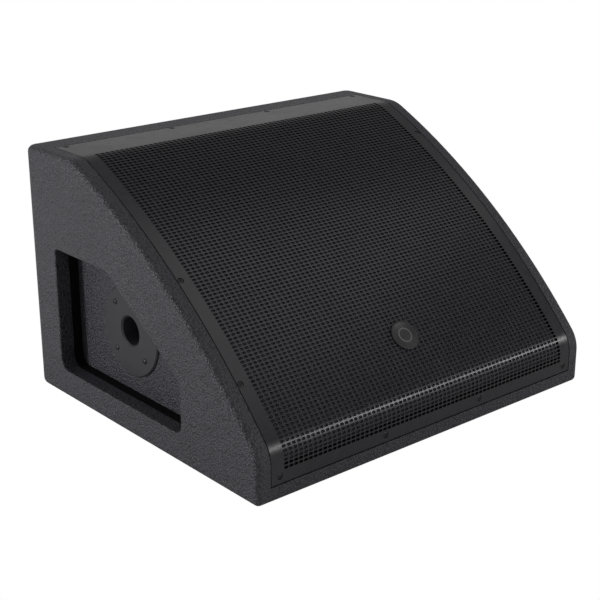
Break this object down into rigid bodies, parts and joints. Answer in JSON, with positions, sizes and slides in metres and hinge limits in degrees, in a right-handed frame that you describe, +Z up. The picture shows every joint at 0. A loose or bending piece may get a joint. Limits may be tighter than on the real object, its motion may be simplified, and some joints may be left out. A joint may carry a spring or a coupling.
{
  "type": "stage monitor wedge",
  "caption": "Low sloping stage monitor cabinet with a curved perforated grille, hand recesses, a pole socket and an amplifier panel.",
  "frame": {"origin": "on the floor, under the centre of the cabinet", "axes": "+X to the right seen from the grille, the grille faces -Y, +Z up"},
  "size_m": [0.536, 0.459, 0.321],
  "materials": {
    "textured_paint": "black hard-wearing textured paint on plywood",
    "smooth_black_paint": "smooth black paint on plywood",
    "plain_wood": "bare softwood battens",
    "grille_coat": "satin black powder coat on perforated steel",
    "foam": "open black foam",
    "badge": "satin black plastic",
    "black_steel": "black oxide",
    "socket_plastic": "satin black moulding",
    "connector_shell": "black moulding",
    "contact_metal": "plated contacts",
    "latch_plastic": "dark grey moulding",
    "rocker_plastic": "gloss black",
    "control_plastic": "soft black",
    "control_metal": "plated steel",
    "lens": "clear green",
    "panel_paint": "fine black powder coat",
    "heatsink_black": "black anodised",
    "board": "green laminate",
    "board_brass": "plain",
    "transformer": "taped winding",
    "capacitor_sleeve": "shrink sleeve",
    "cast_frame": "black coated casting",
    "motor_steel": "zinc plated",
    "ferrite": "plain ferrite",
    "cone_paper": "black treated paper",
    "coil_copper": "enamelled winding",
    "rubber": "matt black rubber",
    "spider_cloth": "resin-dipped cloth",
    "felt": "grey felt"
  },
  "bodies": {
    "cabinet": {"side_panel_left": "textured_paint", "side_panel_right": "textured_paint", "rear_panel": "textured_paint", "top_panel": "textured_paint", "bottom_panel": "textured_paint", "recess_plate_left": "textured_paint", "recess_frame_left": "smooth_black_paint", "recess_frame_right": "smooth_black_paint", "recess_plate_right": "smooth_black_paint", "baffle": "smooth_black_paint", "front_rail": "smooth_black_paint", "grille_rail_left": "smooth_black_paint", "grille_rail_right": "smooth_black_paint", "baffle_cleats": "plain_wood", "grille": "grille_coat", "grille_foam": "foam", "grille_badge": "badge", "grille_screws": "black_steel", "pole_socket_screws": "black_steel", "driver_screws": "black_steel", "foot_screws": "black_steel", "amp_panel_screws": "black_steel", "socket_screws": "black_steel", "pole_socket": "socket_plastic", "port_tubes": "socket_plastic", "switch_housing": "socket_plastic", "button_switch": "socket_plastic", "input_socket": "connector_shell", "link_socket": "connector_shell", "mains_inlet": "connector_shell", "input_contacts": "connector_shell", "link_pins": "contact_metal", "mains_pins": "contact_metal", "level_pot": "control_metal", "indicator_lenses": "lens", "amp_panel": "panel_paint", "heatsink": "heatsink_black", "amp_board": "board", "board_posts": "board_brass", "power_transformer": "transformer", "smoothing_capacitors": "capacitor_sleeve", "woofer_basket": "cast_frame", "compression_driver": "cast_frame", "high_frequency_horn": "cast_frame", "magnet_front_plate": "motor_steel", "back_plate_and_pole": "motor_steel", "ring_magnet": "ferrite", "spider_ring": "cone_paper", "cone_surround": "rubber", "rubber_feet": "rubber", "driver_gasket": "rubber", "spider": "spider_cloth", "damping_felt": "felt"},
    "cone_assembly": {"woofer_cone": "cone_paper", "voice_coil": "coil_copper"},
    "level_knob_body": {"level_knob": "control_plastic"},
    "power_rocker_body": {"power_rocker": "rocker_plastic"},
    "preset_button_body": {"preset_button": "control_plastic"},
    "input_latch_body": {"input_latch": "latch_plastic"}
  },
  "joints": [
    {"name": "cone_stroke", "type": "slide", "parent": "cabinet", "child": "cone_assembly", "axis": [0, -0.5976, 0.8018], "range_m": [-0.004, 0.004], "stiffness_N_per_m": 6000, "deforming": ["cone_surround", "spider"]},
    {"name": "level_turn", "type": "hinge", "parent": "cabinet", "child": "level_knob_body", "pos_m": [0.238, -0.0108, 0.1138], "axis": [1, 0, 0], "range_deg": [-150, 150]},
    {"name": "power_switch", "type": "hinge", "parent": "cabinet", "child": "power_rocker_body", "pos_m": [0.238, 0.0782, 0.0758], "axis": [0, -1, 0], "range_deg": [0, 16]},
    {"name": "preset_press", "type": "slide", "parent": "cabinet", "child": "preset_button_body", "axis": [-1, 0, 0], "range_m": [0, 0.0015], "stiffness_N_per_m": 400},
    {"name": "latch_press", "type": "slide", "parent": "cabinet", "child": "input_latch_body", "axis": [-1, 0, 0], "range_m": [0, 0.0018], "stiffness_N_per_m": 400}
  ]
}
